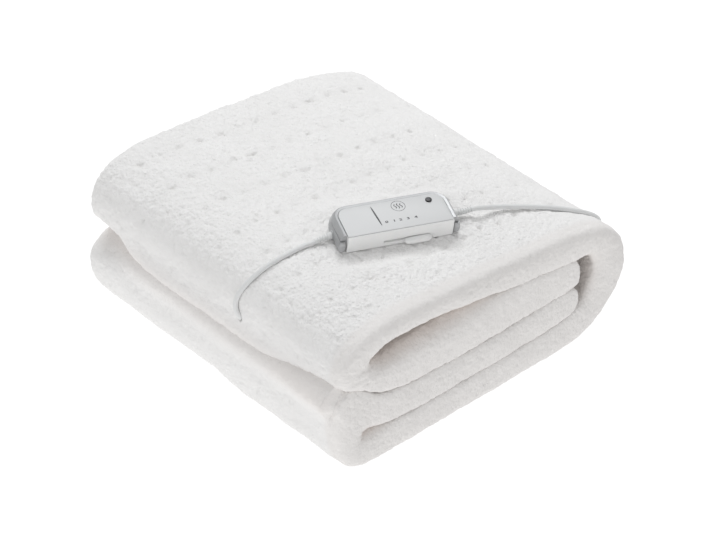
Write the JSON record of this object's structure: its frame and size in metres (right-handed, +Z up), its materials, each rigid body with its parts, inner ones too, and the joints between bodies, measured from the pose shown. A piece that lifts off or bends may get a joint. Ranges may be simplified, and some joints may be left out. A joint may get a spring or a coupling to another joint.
{
  "type": "folded electric heated blanket",
  "caption": "Folded fleece heated blanket with a slider hand control on top, its lead over the back, a coil and a flat two-pin plug.",
  "frame": {"origin": "centre of the footprint of the blanket pack, on the surface that it lies on", "axes": "+Z up; +X towards the folded long edge; +Y towards the one big fold, where the mains lead goes over; -Y towards the two small folds"},
  "size_m": [0.41, 0.4725, 0.198],
  "materials": {
    "fleece": "near-white teddy fleece, matt, with a knobbly pile",
    "white_plastic": "white moulded plastic, satin",
    "panel": "light grey, fine matt",
    "silver": "silver painted plastic, satin",
    "lamp": "dark tinted lamp cover",
    "cable": "light grey soft plastic",
    "pins": "plated pins"
  },
  "bodies": {
    "root": {"blanket": "fleece", "controller_body": "white_plastic", "band_lower": "silver", "band_upper": "silver", "post_left": "silver", "post_right": "silver", "controller_panel": "panel", "lamp": "lamp", "relief_left": "cable", "relief_right": "cable", "cord_blanket": "cable", "cord_mains": "cable", "cord_coil": "cable", "cord_plug": "cable", "plug_body": "cable", "plug_pin_left": "pins", "plug_pin_right": "pins"},
    "slider": {"slider_knob": "white_plastic"}
  },
  "joints": [
    {"name": "slider_slide", "type": "slide", "parent": "root", "child": "slider", "axis": [0.3676, 0.9285, -0.0523], "range_m": [-0.032, 0]}
  ]
}
